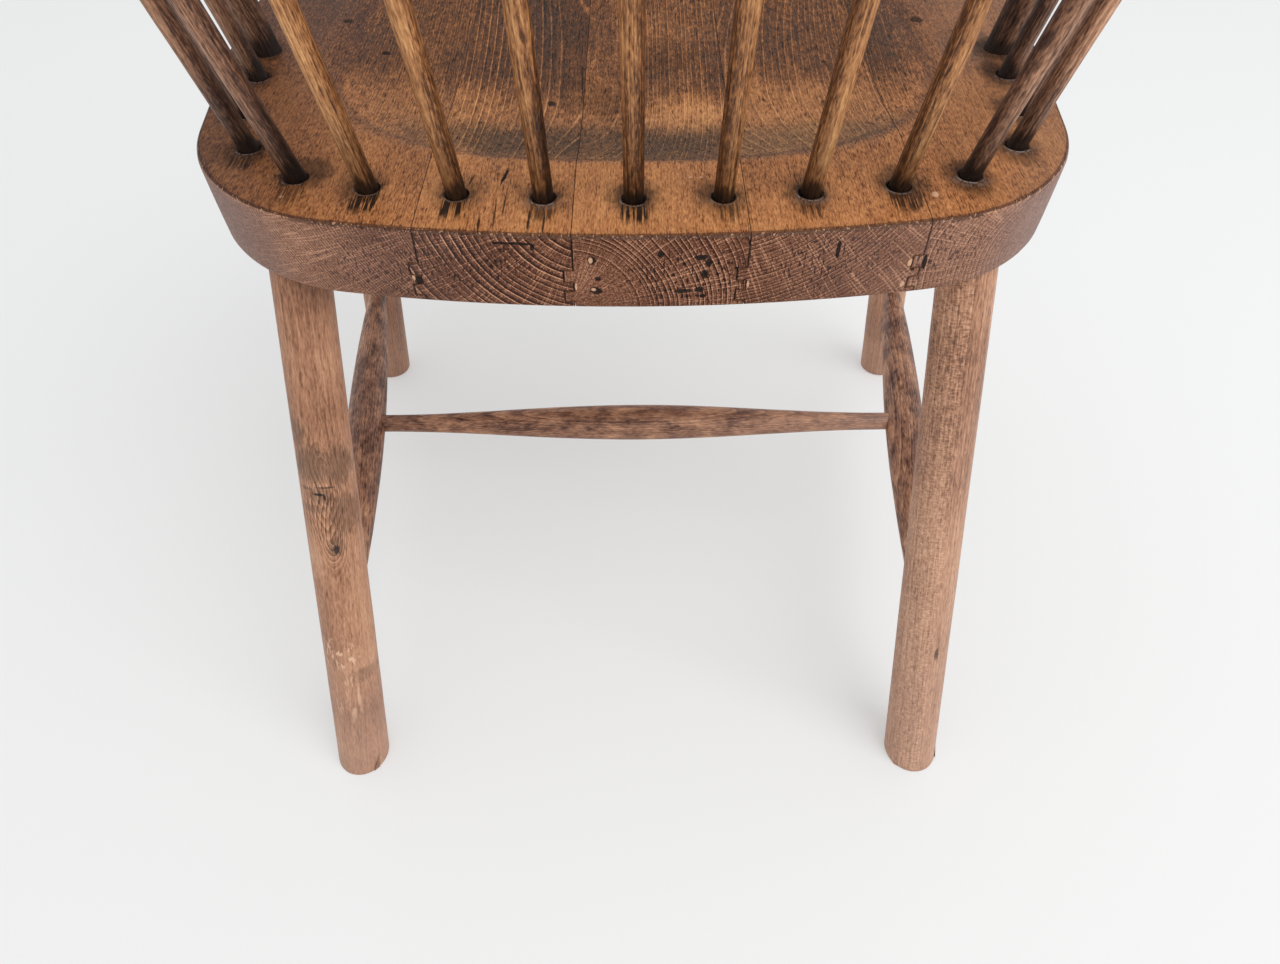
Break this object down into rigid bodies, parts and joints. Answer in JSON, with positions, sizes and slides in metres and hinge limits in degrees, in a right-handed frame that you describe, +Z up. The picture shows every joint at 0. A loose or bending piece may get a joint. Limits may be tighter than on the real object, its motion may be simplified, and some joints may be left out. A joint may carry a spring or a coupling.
{
  "type": "stick back armchair",
  "caption": "Wooden armchair with a dished solid seat, round sticks rising through a bent arm bow to a top bow, and splayed legs joined by stretchers.",
  "frame": {"origin": "on the floor under the centre of the chair's box", "axes": "+Z up, the seat faces -Y, +X to the sitter's left"},
  "size_m": [0.604, 0.5138, 0.9458],
  "materials": {
    "seat_wood": "brown stain, worn to orange brown, satin varnish",
    "leg_wood": "brown stain, worn, satin varnish",
    "stretcher_wood": "dark brown stain, worn, satin varnish",
    "stick_wood": "golden brown stain, dark at the sockets",
    "bow_wood": "golden brown stain, satin varnish"
  },
  "bodies": {
    "root": {"arm_bow": "bow_wood", "arm_post_left": "bow_wood", "arm_post_right": "bow_wood", "back_stick_left_1": "stick_wood", "back_stick_left_2": "stick_wood", "back_stick_left_3": "stick_wood", "back_stick_left_4": "stick_wood", "back_stick_middle": "stick_wood", "back_stick_right_1": "stick_wood", "back_stick_right_2": "stick_wood", "back_stick_right_3": "stick_wood", "back_stick_right_4": "stick_wood", "cross_stretcher": "stretcher_wood", "front_leg_left": "leg_wood", "front_leg_right": "leg_wood", "rear_leg_left": "leg_wood", "rear_leg_right": "leg_wood", "seat_board_1": "seat_wood", "seat_board_2": "seat_wood", "seat_board_3": "seat_wood", "seat_board_4": "seat_wood", "seat_board_5": "seat_wood", "side_stick_left_1": "stick_wood", "side_stick_left_2": "stick_wood", "side_stick_left_3": "stick_wood", "side_stick_right_1": "stick_wood", "side_stick_right_2": "stick_wood", "side_stick_right_3": "stick_wood", "side_stretcher_left": "stretcher_wood", "side_stretcher_right": "stretcher_wood", "top_bow": "bow_wood"}
  },
  "joints": []
}
